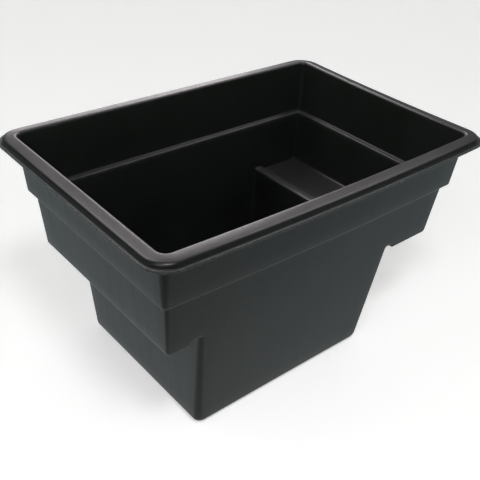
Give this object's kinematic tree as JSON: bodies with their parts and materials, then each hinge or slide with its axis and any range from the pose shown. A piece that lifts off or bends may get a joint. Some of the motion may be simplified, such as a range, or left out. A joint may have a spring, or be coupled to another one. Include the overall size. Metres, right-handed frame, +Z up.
{
  "type": "mixing tub",
  "caption": "Deep rectangular plastic mixing tub in stepped tiers, with a wide rim, a ledge all round, and a kerbed shelf at each end of a central well.",
  "frame": {"origin": "middle of the bounding box, on the surface that the tub stands on", "axes": "+X along the tub, towards the end with the wider shelf; +Y across it, from the bowed front wall towards the straight back wall; +Z up, out of the mouth"},
  "size_m": [1, 0.6809, 0.5918],
  "materials": {
    "shell": "satin black polyethylene with a fine thermoformed surface"
  },
  "bodies": {
    "root": {"tub_shell": "shell"}
  },
  "joints": []
}
